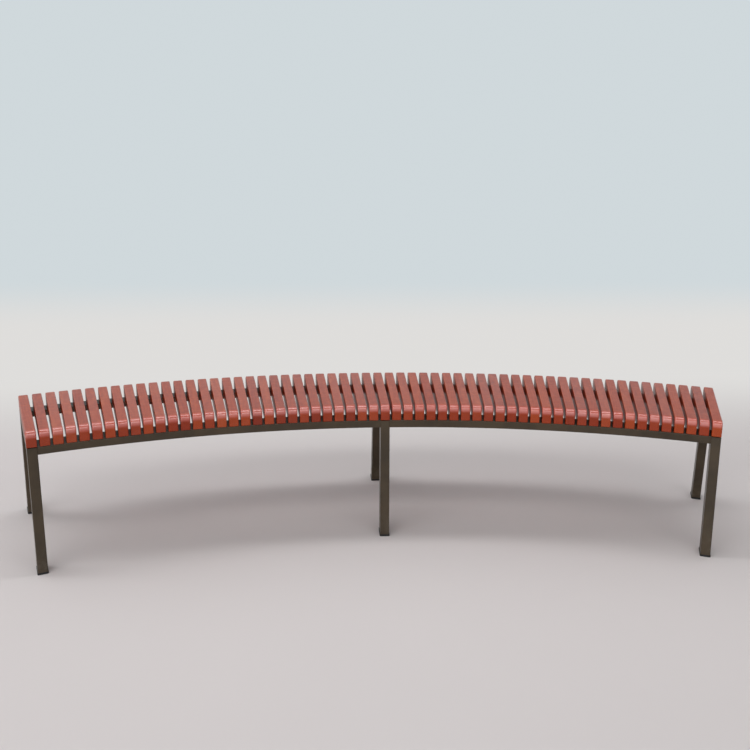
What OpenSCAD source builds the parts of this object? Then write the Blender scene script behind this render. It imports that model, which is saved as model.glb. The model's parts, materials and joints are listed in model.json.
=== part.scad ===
// Round bench for a patio or a porch, with no back. Narrow boards stand on edge side by
// side along an arc, each one pointing at the arc's centre, so the gaps widen to the back.
// They are screwed from below to two curved steel rails, which three pairs of splayed
// tube legs carry. Millimetres. X runs along the bench, Y towards its back and Z up. The
// origin is on the ground under the middle of the outline, and the hollow side faces -Y.

/* [Seat] */
// Radius of the arc that the front ends of the slats stand on
front_radius = 3000; // [2700:10:6000]
// Angle that the row of slats covers, in degrees
seat_angle = 42; // [38:0.5:70]
// Number of slats
slat_count = 58; // [30:1:62]
// Width of a slat, measured along the row
slat_width = 30; // [20:1:33]
// Height of a slat, which stands on edge
slat_height = 50; // [36:1:80]
// Length of a slat, which is the depth of the seat
seat_depth = 392; // [320:5:520]
// Radius of the rounded front end of a slat's top
nose_radius = 20; // [8:1:30]
// Radius of the rounded back end of a slat's top
tail_radius = 22; // [8:1:30]
// Radius of the eased edges of a slat
slat_easing = 3.5; // [1:0.5:5]

/* [Rails] */
// Height of the front rail and of the cross members
rail_height = 25; // [20:1:50]
// Height of the rear rail
rear_rail_height = 20; // [16:1:50]
// Width of the front rail, front to back
front_rail_width = 65; // [30:1:80]
// Width of the rear rail, front to back
rear_rail_width = 50; // [30:1:80]
// Distance that the rails' outer faces lie in from the ends of the slats
rail_setback = 1; // [0:0.5:15]
// Outer radius of the corners of all the tubes
tube_corner = 2.5; // [2.5:0.5:6]
// Wall of all the tubes
tube_wall = 1.5; // [1.2:0.1:2.4]

/* [Legs] */
// Height of the front rail's underside above the ground
leg_height = 365; // [280:5:420]
// Width of a leg, measured along the row
leg_width = 30; // [24:1:40]
// Depth of a leg, front to back
leg_depth = 50; // [36:1:60]
// Distance that a leg leans outwards from the rail down to the ground
leg_splay = 50; // [0:1:90]
// Gap between the top of a leg and the slat over it
leg_top_gap = 1.5; // [0.5:0.5:5]
// Width of a cross member, measured along the row
cross_width = 30; // [24:1:40]

/* [Glides] */
// Height of a glide's foot below the end of the leg
glide_height = 6; // [3:0.5:15]
// Distance that a glide stands out past the tube on each side
glide_lip = 1.5; // [0.5:0.5:4]
// Length of the plug that a glide has inside the tube
glide_plug = 22; // [10:1:50]
// Gap between the plug and the tube
plug_clearance = 0.2; // [0.1:0.1:0.6]

/* [Screws] */
// Diameter of a screw's shank
screw_diameter = 6; // [4:0.5:8]
// Diameter of a screw's head
screw_head_diameter = 12; // [9:0.5:16]
// Height of a screw's head
screw_head_height = 4; // [2.5:0.5:6]
// Depth that a screw reaches into a slat
screw_bite = 25; // [15:1:30]
// Distance of a cross member's screws from the ends of the slat
cross_screw_inset = 120; // [100:5:150]

/* [Hidden] */
$fn = 64;

// Room around a shank in a rail, and left around its thread and past its tip in a slat
rail_hole_room = 0.5;
slat_bore_room = 0.1;
slat_bore_tip = 2;
// Length of a screw's point, its diameter at the tip, and the hexagon socket in the head
screw_point = 5;
screw_tip = 1;
socket_diameter = 4.6;
socket_depth = 2.2;
// Length by which a cutting shape runs past the face that it cuts
overrun = 20;

// Angle from slat to slat, and from the middle of the row to the end slats
slat_pitch = seat_angle / slat_count;
end_angle = (seat_angle - slat_pitch) / 2;
function slat_angle(index) = index * slat_pitch - end_angle;

// The slats over the left, centre and right legs
leg_slats = [0, floor(slat_count / 2), slat_count - 1];
function leg_angle(place) = slat_angle(leg_slats[place]);

// Radii of the rails' outer faces and centre lines
back_radius = front_radius + seat_depth;
front_rail_face = front_radius + rail_setback;
rear_rail_face = back_radius - rail_setback;
front_rail_centre = front_rail_face + front_rail_width / 2;
rear_rail_centre = rear_rail_face - rear_rail_width / 2;
front_cross_screw = front_radius + cross_screw_inset;
rear_cross_screw = back_radius - cross_screw_inset;

// Heights above the ground, and the height of the higher kind of rail
rail_top = leg_height + rail_height;
deepest_rail = max(rail_height, rear_rail_height);
leg_top = rail_top - leg_top_gap;

// A leg's lean, its depth cut level, and its outward drift from its top to its glide
lean = atan(leg_splay / leg_height);
level_depth = leg_depth / cos(lean);
foot_drift = (leg_top - glide_height) * tan(lean);

// A glide's foot, as seen from above
glide_width = leg_width + 2 * glide_lip;
glide_depth = level_depth + 2 * glide_lip;
glide_corner = tube_corner + glide_lip;
glide_easing = 1.5;
front_glide_centre = front_rail_face - foot_drift + level_depth / 2;
rear_glide_centre = rear_rail_face + foot_drift - level_depth / 2;

// Reach of a glide's outline to the front or the back when it is turned by an angle
function glide_reach(angle) = (glide_depth / 2 - glide_corner) * cos(angle)
    + (glide_width / 2 - glide_corner) * sin(abs(angle)) + glide_corner;
function slat_reach(angle) = slat_width / 2 * sin(abs(angle));

// Foremost and rearmost points, measured from the arc's centre, and the middle of them
foremost = min(
    front_glide_centre * cos(end_angle) - glide_reach(end_angle),
    front_radius * cos(end_angle) - slat_reach(end_angle));
rearmost = max(
    rear_glide_centre * cos(leg_angle(1)) + glide_reach(leg_angle(1)),
    back_radius * cos(leg_angle(1)) + slat_reach(leg_angle(1)));
outline_middle = (foremost + rearmost) / 2;

// Slats go in pairs, one pair to a node
slat_pairs = ceil(slat_count / 2);
function slat_node(pair) = str("slats_", pair < 10 ? "0" : "", pair);

places = ["left", "centre", "right"];
halves = ["left", "right"];

// Puts a shape drawn along Y from the arc's centre at its angle in the row
module at_angle(angle) {
    translate([0, -outline_middle, 0])
        rotate([0, 0, -angle])
            children();
}

// A rectangle centred on the origin, with round corners
module rounded_rectangle(width, depth, corner) {
    square([width - 2 * corner, depth], center = true);
    square([width, depth - 2 * corner], center = true);
    for (x = [-1, 1], y = [-1, 1])
        translate([x * (width / 2 - corner), y * (depth / 2 - corner)])
            circle(corner);
}

// A slat's section, centred across its width, from its underside up
module slat_section() {
    translate([0, slat_height / 2])
        rounded_rectangle(slat_width, slat_height, slat_easing);
}

// The eased edge of a round end, turned about the end's own axis
module slat_round_end(radius) {
    translate([0, 0, slat_height - radius])
        rotate([0, 90, 0])
            rotate([0, 0, 180])
                rotate_extrude(angle = 90)
                    intersection() {
                        translate([0, -slat_width / 2])
                            square([radius, slat_width]);
                        translate([radius - slat_width, 0])
                            rounded_rectangle(2 * slat_width, slat_width, slat_easing);
                    }
}

// One end of a slat, in front of its origin: round at the top and square below that
module slat_end(radius) {
    slat_round_end(radius);
    intersection() {
        linear_extrude(slat_height - radius)
            intersection() {
                translate([0, radius])
                    rounded_rectangle(slat_width, 4 * radius, slat_easing);
                translate([-slat_width, -radius])
                    square([2 * slat_width, radius]);
            }
        rotate([90, 0, 0])
            linear_extrude(radius)
                slat_section();
        rotate([90, 0, 90])
            translate([0, 0, -slat_width])
                linear_extrude(2 * slat_width)
                    translate([radius, slat_height])
                        rounded_rectangle(4 * radius, 2 * slat_height, slat_easing);
    }
}

// One whole slat with its front end at the origin
module slat_blank() {
    translate([0, seat_depth - tail_radius, 0])
        rotate([90, 0, 0])
            linear_extrude(seat_depth - nose_radius - tail_radius)
                slat_section();
    translate([0, nose_radius, 0])
        slat_end(nose_radius);
    translate([0, seat_depth - tail_radius, 0])
        mirror([0, 1, 0])
            slat_end(tail_radius);
}

// True where a slat stands over a leg, and so on a cross member and not on the rails
function over_leg(index) = len([for (slat = leg_slats) if (slat == index) slat]) > 0;

// The two radii at which a slat is screwed
function screw_radii(index) = over_leg(index)
    ? [front_cross_screw, rear_cross_screw]
    : [front_rail_centre, rear_rail_centre];

module slat(index) {
    at_angle(slat_angle(index))
        difference() {
            translate([0, front_radius, rail_top])
                slat_blank();
            for (radius = screw_radii(index))
                translate([0, radius, rail_top - overrun])
                    cylinder(
                        d = screw_diameter + slat_bore_room,
                        h = overrun + screw_bite + slat_bore_tip);
        }
}

module slat_pair(pair) {
    color([0.56, 0.29, 0.22])
        for (index = [2 * pair - 2 : min(2 * pair - 1, slat_count - 1)])
            slat(index);
}

// The space in front of a front leg's back face
module outside_leg() {
    translate([0, 0, leg_top])
        rotate([-lean, 0, 0])
            translate([-leg_width, leg_depth - seat_depth, -leg_height])
                cube([2 * leg_width, seat_depth, 2 * leg_height]);
}

// The upright slab of space that a leg and its cross member take up in the row
module leg_slab(place) {
    at_angle(leg_angle(place))
        translate([-leg_width / 2, front_radius - overrun, rail_top - deepest_rail - overrun])
            cube([leg_width, seat_depth + 2 * overrun, deepest_rail + 2 * overrun]);
}

// Section of a tube that lies level, centred across its width, with its top at the origin
module tube_section(width, height) {
    translate([0, -height / 2])
        difference() {
            rounded_rectangle(width, height, tube_corner);
            rounded_rectangle(
                width - 2 * tube_wall,
                height - 2 * tube_wall,
                tube_corner - tube_wall);
        }
}

// What a drill takes out for a screw at a radius, all the way through a rail
module screw_hole(radius) {
    translate([0, radius, rail_top - deepest_rail - overrun])
        cylinder(
            d = screw_diameter + rail_hole_room,
            h = deepest_rail + 2 * overrun);
}

// Half a rail, from one leg to the next, drilled under each slat that it carries
module rail_half(half, radius, width, height) {
    first = leg_slats[half];
    last = leg_slats[half + 1];
    color([0.30, 0.26, 0.22])
        difference() {
            at_angle(slat_angle(last))
                rotate([0, 0, 90])
                    rotate_extrude(angle = slat_angle(last) - slat_angle(first), $fn = 720)
                        translate([radius, rail_top])
                            tube_section(width, height);
            leg_slab(half);
            leg_slab(half + 1);
            for (index = [first + 1 : last - 1])
                at_angle(slat_angle(index))
                    screw_hole(radius);
        }
}

module front_rail(half) {
    rail_half(half, front_rail_centre, front_rail_width, rail_height);
}

module rear_rail(half) {
    rail_half(half, rear_rail_centre, rear_rail_width, rear_rail_height);
}

// Everything between two level planes
module level_slice(bottom, top) {
    reach = 2 * leg_height;
    translate([-reach / 2, -reach / 2, bottom])
        cube([reach, reach, top - bottom]);
}

// A prism along a front leg, leaning forward to the ground. Its outer face passes through
// the origin's X axis at the height of the leg's top, and inset shrinks it on all sides.
module leaning_prism(inset) {
    length = 2 * leg_height;
    translate([0, 0, leg_top])
        rotate([-lean, 0, 0])
            translate([0, leg_depth / 2, -length + overrun])
                linear_extrude(length)
                    rounded_rectangle(
                        leg_width - 2 * inset,
                        leg_depth - 2 * inset,
                        tube_corner - inset);
}

// A leg tube with its top closed by a plate as thick as its wall
module leg_tube() {
    color([0.30, 0.26, 0.22])
        difference() {
            intersection() {
                leaning_prism(0);
                level_slice(glide_height, leg_top);
            }
            intersection() {
                leaning_prism(tube_wall);
                level_slice(glide_height - overrun, leg_top - tube_wall);
            }
        }
}

// Stands a shape drawn for a front leg under its own place
module at_front(place) {
    at_angle(leg_angle(place))
        translate([0, front_rail_face, 0])
            children();
}

module at_rear(place) {
    at_angle(leg_angle(place))
        translate([0, rear_rail_face, 0])
            mirror([0, 1, 0])
                children();
}

module front_leg(place) {
    at_front(place)
        leg_tube();
}

module rear_leg(place) {
    at_rear(place)
        leg_tube();
}

// The tube between a front and a rear leg, cut to their lean and drilled for two screws
module cross_member(place) {
    color([0.30, 0.26, 0.22])
        difference() {
            at_angle(leg_angle(place))
                translate([0, rear_rail_face, rail_top])
                    rotate([90, 0, 0])
                        linear_extrude(rear_rail_face - front_rail_face)
                            tube_section(cross_width, rail_height);
            at_front(place)
                outside_leg();
            at_rear(place)
                outside_leg();
            at_angle(leg_angle(place))
                for (radius = [front_cross_screw, rear_cross_screw])
                    screw_hole(radius);
        }
}

// A block on the ground with round corners and an eased upper edge
module glide_foot() {
    intersection() {
        linear_extrude(glide_height)
            rounded_rectangle(glide_width, glide_depth, glide_corner);
        rotate([90, 0, 0])
            translate([0, 0, -glide_depth])
                linear_extrude(2 * glide_depth)
                    rounded_rectangle(glide_width, 2 * glide_height, glide_easing);
        rotate([90, 0, 90])
            translate([0, 0, -glide_width])
                linear_extrude(2 * glide_width)
                    rounded_rectangle(glide_depth, 2 * glide_height, glide_easing);
    }
}

// A glide with its foot under the tube and its plug inside it
module glide() {
    color([0.07, 0.07, 0.07]) {
        translate([0, level_depth / 2 - foot_drift, 0])
            glide_foot();
        intersection() {
            leaning_prism(tube_wall + plug_clearance);
            level_slice(glide_height / 2, glide_height + glide_plug);
        }
    }
}

module front_glide(place) {
    at_front(place)
        glide();
}

module rear_glide(place) {
    at_rear(place)
        glide();
}

// A screw driven upwards through a tube, with the seat of its head at the origin
module screw(grip) {
    shank = grip + screw_bite;
    difference() {
        translate([0, 0, -screw_head_height])
            cylinder(d = screw_head_diameter, h = screw_head_height);
        translate([0, 0, -screw_head_height - overrun])
            cylinder(d = socket_diameter, h = socket_depth + overrun, $fn = 6);
    }
    cylinder(d = screw_diameter, h = shank - screw_point);
    translate([0, 0, shank - screw_point])
        cylinder(d1 = screw_diameter, d2 = screw_tip, h = screw_point);
}

// The screws of the given slats, all at one radius and through tubes of one height
module screw_row(indices, radius, grip) {
    color([0.62, 0.62, 0.63])
        for (index = indices)
            at_angle(slat_angle(index))
                translate([0, radius, rail_top - grip])
                    screw(grip);
}

rail_slats = [for (index = [0 : slat_count - 1]) if (!over_leg(index)) index];

module front_screws() {
    screw_row(rail_slats, front_rail_centre, rail_height);
}

module rear_screws() {
    screw_row(rail_slats, rear_rail_centre, rear_rail_height);
}

module cross_screws() {
    screw_row(leg_slats, front_cross_screw, rail_height);
    screw_row(leg_slats, rear_cross_screw, rail_height);
}

for (pair = [1 : slat_pairs])
    slat_pair(pair);

for (half = [0 : 1]) {
    front_rail(half);
    rear_rail(half);
}

for (place = [0 : 2]) {
    front_leg(place);
    rear_leg(place);
    cross_member(place);
    front_glide(place);
    rear_glide(place);
}

front_screws();
rear_screws();
cross_screws();
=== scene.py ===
"""Looks of the round bench: stained slats, bronze coated steel, black glides and steel screws,
on a plain pale floor in soft light. Metres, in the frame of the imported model."""
import json
import math

import bpy
from mathutils import Matrix, Vector

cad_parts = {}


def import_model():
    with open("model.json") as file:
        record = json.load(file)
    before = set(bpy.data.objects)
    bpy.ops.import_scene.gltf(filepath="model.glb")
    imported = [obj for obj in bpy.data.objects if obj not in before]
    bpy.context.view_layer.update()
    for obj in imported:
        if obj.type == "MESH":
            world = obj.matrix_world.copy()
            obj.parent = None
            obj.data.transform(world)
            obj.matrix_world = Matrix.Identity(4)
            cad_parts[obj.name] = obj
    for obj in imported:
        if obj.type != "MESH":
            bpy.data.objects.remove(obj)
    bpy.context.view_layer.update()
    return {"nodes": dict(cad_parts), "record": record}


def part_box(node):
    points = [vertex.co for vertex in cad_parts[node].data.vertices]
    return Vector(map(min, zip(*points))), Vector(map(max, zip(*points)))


# The arc that the slats stand on, and a slat's width and round front end, as the packed
# model has them
FRONT_RADIUS = 3.0
SEAT_ANGLE = math.radians(42.0)
SLAT_COUNT = 58
SLAT_PITCH = SEAT_ANGLE / SLAT_COUNT
SLAT_WIDTH = 0.030
SLAT_EDGE = SLAT_WIDTH / 2
NOSE_RADIUS = 0.020
MIDDLE_SLATS = "slats_15"

# Camera: its place, its turns in degrees, its lens and how far it sees
CAMERA_PLACE = (-0.2284, -2.7645, 1.3828)
CAMERA_YAW = 4.474
CAMERA_PITCH = 13.431
CAMERA_ROLL = -0.774
FOCAL_PIXELS = 858.9
PICTURE_PIXELS = 750.0
SHIFT_PIXELS = -58.8
SENSOR_MM = 36.0
FARTHEST_SEEN = 60.0

# Colours, linear
WOOD_DARK = (0.205, 0.016, 0.003)
WOOD_MIDDLE = (0.332, 0.037, 0.006)
WOOD_LIGHT = (0.460, 0.080, 0.015)
WOOD_WORN = (0.520, 0.115, 0.032)
# A painted highlight: the lighter, redder colour laid on the noses
NOSE_PAINTED_HIGHLIGHT = (0.600, 0.042, 0.007)
STEEL_DARK = (0.038, 0.025, 0.012)
STEEL_LIGHT = (0.062, 0.041, 0.020)
STEEL_DUST = (0.105, 0.086, 0.064)
PLASTIC = (0.012, 0.012, 0.012)
PLASTIC_DUST = (0.040, 0.038, 0.035)
SCREW_DARK = (0.34, 0.34, 0.35)
SCREW_LIGHT = (0.56, 0.56, 0.57)
FLOOR_COLOUR = (0.680, 0.630, 0.618)
PLAIN_FLOOR_COLOUR = (0.735, 0.725, 0.710)
BACKDROP_COLOUR = (0.63, 0.69, 0.715)
SKY_COLOUR = (0.95, 0.975, 1.0)

# The brightness of the darker clouds in the floor's paint, as a share of its own colour
FLOOR_CLOUD = 0.965

# Grain: how far along its board one slat starts from the next one, the range of its lean
# across the slat, and the depth of the end grain in front with the range of its stain
GRAIN_STEP = 0.731
GRAIN_LEAN = 0.05
END_GRAIN = 0.014
END_STAIN = 0.40

# Growth rings: the width over which their middles are spread, how far these lie below a
# slat's top at least and how much deeper at most, and the rings' wave in radians per metre
PITH_SPREAD = 0.09
PITH_BELOW = 0.045
PITH_DEEPER = 0.05
RING_RATE = 1500.0

# Distances in from a slat's side and down from its top over which the stain wears thin, and
# how far a nose's painted highlight and extra varnish begin outside its radius and are full
# inside it
SIDE_WEAR = (0.0032, 0.0004)
TOP_WEAR = (0.0050, 0.0004)
NOSE_OUTSIDE = 0.004
NOSE_INSIDE = 0.008

# Varnish: its weight on the slats with the least and the most of it, what a nose has more and
# a side less, the distances in from the side over which it thins, its index of refraction,
# and what that has more on a nose
VARNISH = (0.69, 0.89)
VARNISH_NOSE = 0.10
VARNISH_SIDE = 0.50
VARNISH_THINS = (0.0012, 0.0002)
VARNISH_INDEX = 1.46
VARNISH_NOSE_INDEX = 0.90

# Heights above the ground up to which the legs are dusty and the glides scuffed
DUST_HEIGHT = 0.11
SCUFF_HEIGHT = 0.006

# Floor and backdrop: half their width, where the floor begins in front and where it bends up
# behind, the radius of the bend and the steps that it is drawn in, and the backdrop's top
STAGE_HALF_WIDTH = 16.0
FLOOR_FRONT = -14.0
FLOOR_BEND = 4.2
BEND_RADIUS = 1.2
BEND_STEPS = 16
BACKDROP_TOP = 3.0

# Distances over which the floor changes to its own plain colour, straight behind the bench
# and all round it, and over which that colour changes to the backdrop's
PLAIN_BEHIND = (0.45, 1.6)
PLAIN_AROUND = (2.6, 4.6)
WALL_BEHIND = (2.6, 4.4)
WALL_AROUND = (6.0, 12.0)

# The point that both lamps are aimed at
LAMP_TARGET = (-1.0, 0.0, 0.4)

# Sky: its strength, what it has more in front and in a band overhead, its share on the left,
# and the part of the way to each side over which that share changes
SKY_STRENGTH = 0.29
FRONT_STRENGTH = 0.60
BAND_STRENGTH = 0.48
LEFT_SHARE = 1.55
SIDE_REACH = 0.9

# Tilts from straight up to the back, in degrees, over which the band begins and ends, and
# the front begins
BAND_BEGINS = (6.0, 18.0)
BAND_ENDS = (62.0, 42.0)
FRONT_BEGINS = (-25.0, -50.0)


class Nodes:
    """The node tree of a material or a world, with short calls for the nodes that they share"""

    def __init__(self, owner):
        owner.use_nodes = True
        self.owner = owner
        self.tree = owner.node_tree
        self.shader = self.tree.nodes.get("Principled BSDF")
        place = self.add("ShaderNodeTexCoord")
        self.place = place.outputs["Object"]
        self.generated = place.outputs["Generated"]

    def add(self, kind, inputs=None, **settings):
        """A node with its settings, and its inputs given as values or as other nodes' sockets"""
        node = self.tree.nodes.new(kind)
        for key, value in settings.items():
            setattr(node, key, value)
        for key, value in (inputs or {}).items():
            self.put(node.inputs[key], value)
        return node

    def put(self, socket, value):
        if isinstance(value, bpy.types.NodeSocket):
            self.tree.links.new(value, socket)
        elif socket.type == "RGBA" and len(value) == 3:
            socket.default_value = (*value, 1.0)
        else:
            socket.default_value = value

    def set(self, name, value):
        """Gives an input of the material's shader a value or another node's socket"""
        self.put(self.shader.inputs[name], value)

    def math(self, operation, first, second=0.0):
        node = self.add("ShaderNodeMath", operation=operation)
        self.put(node.inputs[0], first)
        self.put(node.inputs[1], second)
        return node.outputs[0]

    def total(self, *terms):
        """The sum of values, each times its own weight"""
        parts = [self.math("MULTIPLY", value, weight) for value, weight in terms]
        result = parts[0]
        for part in parts[1:]:
            result = self.math("ADD", result, part)
        return result

    def length(self, first, second):
        """The length of the slanting side of a right triangle"""
        squares = [self.math("POWER", value, 2.0) for value in (first, second)]
        return self.math("SQRT", self.math("ADD", *squares))

    def around_zero(self, value, spread):
        """A value between 0 and 1 moved to lie around zero, in a range as wide as the spread"""
        return self.math("MULTIPLY", self.math("SUBTRACT", value, 0.5), spread)

    def split(self, vector):
        node = self.add("ShaderNodeSeparateXYZ", {"Vector": vector})
        return node.outputs[0], node.outputs[1], node.outputs[2]

    def join(self, x, y, z):
        return self.add("ShaderNodeCombineXYZ", {"X": x, "Y": y, "Z": z}).outputs[0]

    def draw_out(self, vector, share):
        """A place squeezed along Y to a share, so that a pattern in it is drawn out along Y"""
        node = self.add("ShaderNodeMapping", {"Vector": vector, "Scale": (1.0, share, 1.0)})
        return node.outputs[0]

    def noise(self, vector, scale, detail=3.0, roughness=0.5):
        node = self.add("ShaderNodeTexNoise", {
            "Vector": vector, "Scale": scale, "Detail": detail, "Roughness": roughness})
        return node.outputs[0]

    def stretch(self, value, low, high, out_low=0.0, out_high=1.0):
        """The value moved from one range to another, smoothly and held at both ends"""
        node = self.add("ShaderNodeMapRange", {
            "Value": value, "From Min": low, "From Max": high,
            "To Min": out_low, "To Max": out_high}, interpolation_type="SMOOTHSTEP")
        return node.outputs[0]

    def mix(self, factor, first, second):
        """Two colours mixed"""
        node = self.add("ShaderNodeMix", data_type="RGBA")
        for index, value in ((0, factor), (6, first), (7, second)):
            self.put(node.inputs[index], value)
        return node.outputs[2]

    def mix_shaders(self, factor, first, second):
        node = self.add("ShaderNodeMixShader")
        for socket, value in zip(node.inputs, (factor, first, second)):
            self.put(socket, value)
        return node.outputs[0]

    def bump(self, height, distance, strength, normal=None):
        node = self.add("ShaderNodeBump", {
            "Height": height, "Distance": distance, "Strength": strength})
        if normal is not None:
            self.put(node.inputs["Normal"], normal)
        return node.outputs[0]


def arc_centre_y():
    """Where the arc's centre lies on Y, from the front ends of the two middle slats"""
    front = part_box(MIDDLE_SLATS)[0].y
    half = SLAT_PITCH / 2
    return front - (FRONT_RADIUS * math.cos(half) - SLAT_EDGE * math.sin(half))


def slat_places(nodes, centre_y, seat_top):
    """Sockets for a point's place in its own slat: across it, along it, height below its top,
    and a number that is the same all over one slat and differs from slat to slat"""
    x, y, z = nodes.split(nodes.place)
    from_centre = nodes.math("SUBTRACT", y, centre_y)
    angle = nodes.math("ADD", nodes.math("ARCTAN2", x, from_centre), SEAT_ANGLE / 2)
    turns = nodes.math("DIVIDE", angle, SLAT_PITCH)
    index = nodes.math("FLOOR", turns)
    middle = nodes.math("SUBTRACT", nodes.math("FRACT", turns), 0.5)
    radius = nodes.length(x, from_centre)
    across = nodes.math("MULTIPLY", nodes.math("MULTIPLY", middle, SLAT_PITCH), radius)
    along = nodes.math("SUBTRACT", radius, FRONT_RADIUS)
    below = nodes.math("SUBTRACT", seat_top, z)
    return across, along, below, index


def inward(distances):
    """Distances in from a slat's side, as distances from its middle"""
    return [SLAT_EDGE - distance for distance in distances]


def board_place(nodes, slat_place, draws):
    """A point's place in the board that its slat is cut from. Each slat has a board of its
    own, so its grain starts elsewhere and leans a little."""
    across, along, below, index = slat_place
    lean = nodes.around_zero(draws[0], GRAIN_LEAN)
    leaning = nodes.math("ADD", across, nodes.math("MULTIPLY", along, lean))
    start = nodes.math("MULTIPLY", index, GRAIN_STEP)
    return nodes.join(leaning, nodes.math("ADD", along, start), below)


def growth_rings(nodes, board, draws):
    """Growth rings round a middle that lies somewhere under the slat's top, and slow waves
    that bend them"""
    wave = nodes.around_zero(nodes.noise(nodes.draw_out(board, 0.16), 26.0, 2.0), 0.020)
    x, _, z = nodes.split(board)
    pith_x = nodes.around_zero(draws[1], PITH_SPREAD)
    pith_z = nodes.math("ADD", nodes.math("MULTIPLY", draws[2], PITH_DEEPER), PITH_BELOW)
    ring = nodes.length(nodes.math("SUBTRACT", x, pith_x), nodes.math("SUBTRACT", z, pith_z))
    ring = nodes.math("SINE", nodes.math("MULTIPLY", nodes.math("ADD", ring, wave), RING_RATE))
    return nodes.stretch(ring, -0.6, 1.0)


def wood(centre_y, seat_top):
    """Stained hardwood under a satin varnish, with its grain along each slat"""
    nodes = Nodes(bpy.data.materials.new("stained_wood"))
    slat_place = slat_places(nodes, centre_y, seat_top)
    across, along, below, index = slat_place
    draw = nodes.add("ShaderNodeTexWhiteNoise", {"W": index}, noise_dimensions="1D")
    chance = draw.outputs["Value"]
    draws = nodes.split(draw.outputs["Color"])
    board = board_place(nodes, slat_place, draws)
    rings = growth_rings(nodes, board, draws)

    # Fibres and pores, drawn out along the slat
    fibres = nodes.noise(nodes.draw_out(board, 0.022), 900.0, 4.0, 0.6)
    pores = nodes.stretch(nodes.noise(nodes.draw_out(board, 0.05), 1500.0, 2.0), 0.60, 0.72)
    cloud = nodes.noise(board, 18.0, 3.0)

    # The end grain in front takes more stain on some boards and less on others
    end = nodes.stretch(along, END_GRAIN, 0.0)
    soak = nodes.around_zero(draws[1], END_STAIN)
    tone = nodes.total((rings, 0.16), (fibres, 0.60), (cloud, 0.22), (chance, 0.26), (end, soak))
    dark = nodes.mix(nodes.stretch(tone, 0.12, 0.67), WOOD_DARK, WOOD_MIDDLE)
    colour = nodes.mix(nodes.stretch(tone, 0.54, 1.09), dark, WOOD_LIGHT)
    colour = nodes.mix(nodes.math("MULTIPLY", pores, 0.35), colour, WOOD_DARK)

    # The stain is thinner on top, and thinnest on the edges, where hands and clothes rub
    from_middle = nodes.math("ABSOLUTE", across)
    side = nodes.stretch(from_middle, *inward(SIDE_WEAR), 0.45, 1.0)
    upper = nodes.stretch(below, *TOP_WEAR)
    rub = nodes.stretch(nodes.noise(board, 60.0, 4.0), 0.42, 0.66)
    worn = nodes.math("MULTIPLY", nodes.math("MULTIPLY", side, upper), rub)
    colour = nodes.mix(nodes.math("MULTIPLY", worn, 0.55), colour, WOOD_WORN)

    # Painted highlight: the colour is lighter and redder on the noses, the round front ends
    begin, full = NOSE_RADIUS + NOSE_OUTSIDE, NOSE_RADIUS - NOSE_INSIDE
    nose = nodes.math("MULTIPLY", nodes.stretch(along, begin, full),
                      nodes.stretch(below, begin, full))
    nodes.set("Base Color", nodes.mix(nodes.math("MULTIPLY", nose, 0.5), colour, NOSE_PAINTED_HIGHLIGHT))

    smear = nodes.noise(board, 35.0, 3.0)
    nodes.set("Roughness", nodes.math(
        "ADD", nodes.stretch(smear, 0.3, 0.7, 0.32, 0.42), nodes.math("MULTIPLY", pores, 0.18)))
    nodes.set("Specular IOR Level", 0.05)

    # The varnish is thin on the sides, and it runs together and shines more on the noses
    flank = nodes.stretch(from_middle, *inward(VARNISH_THINS))
    varnish = nodes.stretch(draws[2], 0.0, 1.0, *VARNISH)
    varnish = nodes.math("ADD", varnish, nodes.math("MULTIPLY", nose, VARNISH_NOSE))
    nodes.set("Coat Weight", nodes.math(
        "SUBTRACT", varnish, nodes.math("MULTIPLY", flank, VARNISH_SIDE)))
    nodes.set("Coat Roughness", 0.28)
    nodes.set("Coat IOR", nodes.math(
        "ADD", nodes.math("MULTIPLY", nose, VARNISH_NOSE_INDEX), VARNISH_INDEX))

    height = nodes.math("SUBTRACT", nodes.math("MULTIPLY", fibres, 0.5),
                        nodes.math("MULTIPLY", pores, 0.5))
    relief = nodes.bump(height, 0.00025, 0.6)
    nodes.set("Normal", nodes.bump(smear, 0.0012, 0.25, relief))
    return nodes.owner


def coated_steel():
    """Bronze powder coat: fine orange peel, faint clouds and dust near the ground"""
    nodes = Nodes(bpy.data.materials.new("coated_steel"))
    z = nodes.split(nodes.place)[2]
    cloud = nodes.noise(nodes.place, 9.0, 4.0, 0.55)
    colour = nodes.mix(nodes.stretch(cloud, 0.32, 0.68), STEEL_DARK, STEEL_LIGHT)
    speck = nodes.stretch(nodes.noise(nodes.place, 700.0, 2.0), 0.66, 0.80)
    colour = nodes.mix(nodes.math("MULTIPLY", speck, 0.30), colour, STEEL_DUST)
    low = nodes.stretch(z, DUST_HEIGHT, 0.0)
    patch = nodes.stretch(nodes.noise(nodes.place, 55.0, 5.0, 0.65), 0.42, 0.70)
    dust = nodes.math("MULTIPLY", nodes.math("MULTIPLY", low, patch), 0.55)
    nodes.set("Base Color", nodes.mix(dust, colour, STEEL_DUST))
    nodes.set("Roughness", nodes.math(
        "ADD", nodes.stretch(cloud, 0.3, 0.7, 0.30, 0.40), nodes.math("MULTIPLY", dust, 0.4)))
    nodes.set("Specular IOR Level", 0.45)
    nodes.set("Normal", nodes.bump(nodes.noise(nodes.place, 420.0, 2.0), 0.00018, 0.5))
    return nodes.owner


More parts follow.
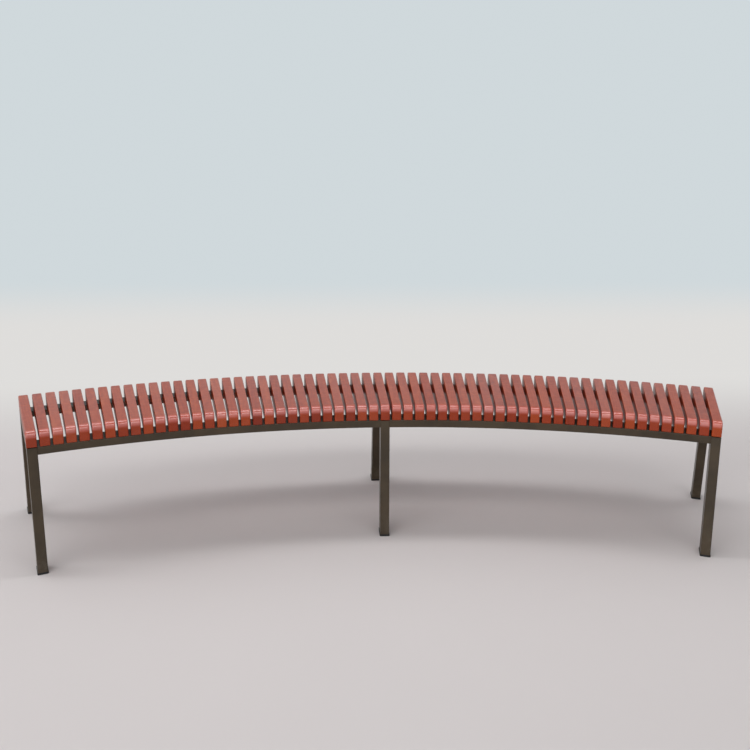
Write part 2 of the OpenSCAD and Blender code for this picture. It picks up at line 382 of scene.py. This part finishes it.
def glide_plastic():
    """Moulded black plastic, scuffed and dusty at the ground"""
    nodes = Nodes(bpy.data.materials.new("glide_plastic"))
    z = nodes.split(nodes.place)[2]
    scuff = nodes.noise(nodes.place, 240.0, 5.0, 0.7)
    low = nodes.stretch(z, SCUFF_HEIGHT, 0.0)
    marks = nodes.math("MULTIPLY", nodes.stretch(scuff, 0.45, 0.66), low)
    nodes.set("Base Color", nodes.mix(nodes.math("MULTIPLY", marks, 0.8), PLASTIC, PLASTIC_DUST))
    nodes.set("Roughness", nodes.stretch(scuff, 0.3, 0.7, 0.48, 0.70))
    nodes.set("Specular IOR Level", 0.4)
    nodes.set("Normal", nodes.bump(nodes.noise(nodes.place, 1200.0, 2.0), 0.00012, 0.4))
    return nodes.owner


def screw_steel():
    """Plain stainless steel, turned and a little stained"""
    nodes = Nodes(bpy.data.materials.new("screw_steel"))
    stain = nodes.noise(nodes.place, 320.0, 4.0)
    nodes.set("Base Color", nodes.mix(nodes.stretch(stain, 0.35, 0.65), SCREW_DARK, SCREW_LIGHT))
    nodes.set("Metallic", 1.0)
    nodes.set("Roughness", nodes.stretch(stain, 0.3, 0.7, 0.26, 0.42))
    nodes.set("Normal", nodes.bump(nodes.noise(nodes.place, 2500.0, 2.0), 0.00008, 0.4))
    return nodes.owner


def dress(frame, materials):
    """Gives every node of the frame the material of its slot"""
    slots = {part["node"]: part["material_slot"] for part in frame["record"]["subparts"]}
    for name, part in frame["nodes"].items():
        part.data.materials.clear()
        part.data.materials.append(materials[slots[name]])


def stage_paint():
    """Pale paint that takes shadows near the bench, and farther off shows a plain colour"""
    nodes = Nodes(bpy.data.materials.new("stage_paint"))
    cloud = nodes.noise(nodes.place, 1.4, 3.0)
    shade = tuple(channel * FLOOR_CLOUD for channel in FLOOR_COLOUR)
    nodes.set("Base Color", nodes.mix(cloud, shade, FLOOR_COLOUR))
    nodes.set("Roughness", 0.75)
    nodes.set("Specular IOR Level", 0.2)

    x, y = nodes.split(nodes.place)[:2]
    away = nodes.length(x, y)
    plain = nodes.math("MAXIMUM", nodes.stretch(y, *PLAIN_BEHIND),
                       nodes.stretch(away, *PLAIN_AROUND))
    wall = nodes.math("MAXIMUM", nodes.stretch(y, *WALL_BEHIND),
                      nodes.stretch(away, *WALL_AROUND))
    glow = nodes.add("ShaderNodeEmission", {
        "Color": nodes.mix(wall, PLAIN_FLOOR_COLOUR, BACKDROP_COLOUR)})
    path = nodes.add("ShaderNodeLightPath")
    seen = nodes.math("MAXIMUM", path.outputs["Is Camera Ray"], path.outputs["Is Glossy Ray"])
    both = nodes.mix_shaders(
        nodes.math("MULTIPLY", seen, plain), nodes.shader.outputs[0], glow.outputs[0])
    nodes.put(nodes.tree.nodes["Material Output"].inputs["Surface"], both)
    return nodes.owner


def studio():
    """A pale floor that curves up into a pale backdrop"""
    profile = [(FLOOR_FRONT, 0.0), (FLOOR_BEND, 0.0)]
    for step in range(1, BEND_STEPS + 1):
        turn = math.pi / 2 * step / BEND_STEPS
        profile.append((FLOOR_BEND + BEND_RADIUS * math.sin(turn),
                        BEND_RADIUS * (1 - math.cos(turn))))
    profile.append((FLOOR_BEND + BEND_RADIUS, BACKDROP_TOP))
    vertices = [(side * STAGE_HALF_WIDTH, y, z) for y, z in profile for side in (-1, 1)]
    faces = [(2 * i, 2 * i + 1, 2 * i + 3, 2 * i + 2) for i in range(len(profile) - 1)]
    mesh = bpy.data.meshes.new("floor")
    mesh.from_pydata(vertices, [], faces)
    for face in mesh.polygons:
        face.use_smooth = True
    mesh.materials.append(stage_paint())
    floor = bpy.data.objects.new("floor", mesh)
    bpy.context.scene.collection.objects.link(floor)


def lamp(name, place, size, power, colour):
    """A soft rectangular lamp over the bench"""
    light = bpy.data.lights.new(name, "AREA")
    light.shape = "RECTANGLE"
    light.size, light.size_y = size
    light.energy = power
    light.color = colour
    holder = bpy.data.objects.new(name, light)
    holder.location = place
    aim = Vector(LAMP_TARGET) - Vector(place)
    holder.rotation_euler = aim.to_track_quat("-Z", "Y").to_euler()
    bpy.context.scene.collection.objects.link(holder)


def tilts(degrees):
    """Tilts given in degrees, in radians"""
    return [math.radians(angle) for angle in degrees]


def sky():
    """A pale world, brighter on the left, in front, and in a band overhead along the bench"""
    world = bpy.data.worlds.new("studio")
    nodes = Nodes(world)
    x, y, z = nodes.split(nodes.generated)
    tilt = nodes.math("ARCTAN2", y, z)
    begun = nodes.stretch(tilt, *tilts(BAND_BEGINS))
    ended = nodes.stretch(tilt, *tilts(BAND_ENDS))
    band = nodes.math("MULTIPLY", nodes.math("MULTIPLY", begun, ended), BAND_STRENGTH)
    front = nodes.stretch(tilt, *tilts(FRONT_BEGINS), 0.0, FRONT_STRENGTH)
    share = nodes.stretch(x, -SIDE_REACH, SIDE_REACH, LEFT_SHARE, 2.0 - LEFT_SHARE)
    strength = nodes.math("ADD", nodes.math("ADD", band, front), SKY_STRENGTH)
    backing = nodes.tree.nodes["Background"]
    nodes.put(backing.inputs["Color"], SKY_COLOUR)
    nodes.put(backing.inputs["Strength"], nodes.math("MULTIPLY", strength, share))

    # The camera itself sees the plain colour of the backdrop
    plain = nodes.add("ShaderNodeBackground", {"Color": BACKDROP_COLOUR})
    path = nodes.add("ShaderNodeLightPath")
    both = nodes.mix_shaders(path.outputs["Is Camera Ray"], backing.outputs[0], plain.outputs[0])
    nodes.put(nodes.tree.nodes["World Output"].inputs["Surface"], both)
    bpy.context.scene.world = world


def lights():
    lamp("back_sky", place=(-1.0, 0.40, 3.50), size=(7.0, 0.50), power=54.0,
         colour=(0.97, 0.985, 1.0))
    lamp("front_sky", place=(-1.0, -1.85, 3.10), size=(7.0, 0.60), power=38.0,
         colour=(1.0, 1.0, 1.0))
    sky()


def camera():
    """The camera where the photograph was taken from, with its turns as a matrix"""
    yaw, pitch, roll = (math.radians(a) for a in (CAMERA_YAW, CAMERA_PITCH, CAMERA_ROLL))
    ahead = Vector((math.sin(yaw) * math.cos(pitch), math.cos(yaw) * math.cos(pitch),
                    -math.sin(pitch)))
    level = Vector((math.cos(yaw), -math.sin(yaw), 0.0))
    below = ahead.cross(level)
    right = math.cos(roll) * level + math.sin(roll) * below
    down = -math.sin(roll) * level + math.cos(roll) * below
    lens = bpy.data.cameras.new("camera")
    lens.sensor_width = SENSOR_MM
    lens.lens = FOCAL_PIXELS / PICTURE_PIXELS * SENSOR_MM
    lens.shift_y = SHIFT_PIXELS / PICTURE_PIXELS
    lens.clip_end = FARTHEST_SEEN
    holder = bpy.data.objects.new("camera", lens)
    turn = Matrix((right, -down, -ahead)).transposed()
    holder.matrix_world = Matrix.Translation(CAMERA_PLACE) @ turn.to_4x4()
    bpy.context.scene.collection.objects.link(holder)
    bpy.context.scene.camera = holder


def main():
    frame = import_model()
    seat_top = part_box(MIDDLE_SLATS)[1].z
    dress(frame, {
        "stained_wood": wood(arc_centre_y(), seat_top),
        "coated_steel": coated_steel(),
        "glide_plastic": glide_plastic(),
        "screw_steel": screw_steel()})
    studio()
    lights()
    camera()
    bpy.context.scene.view_settings.view_transform = "Standard"


main()
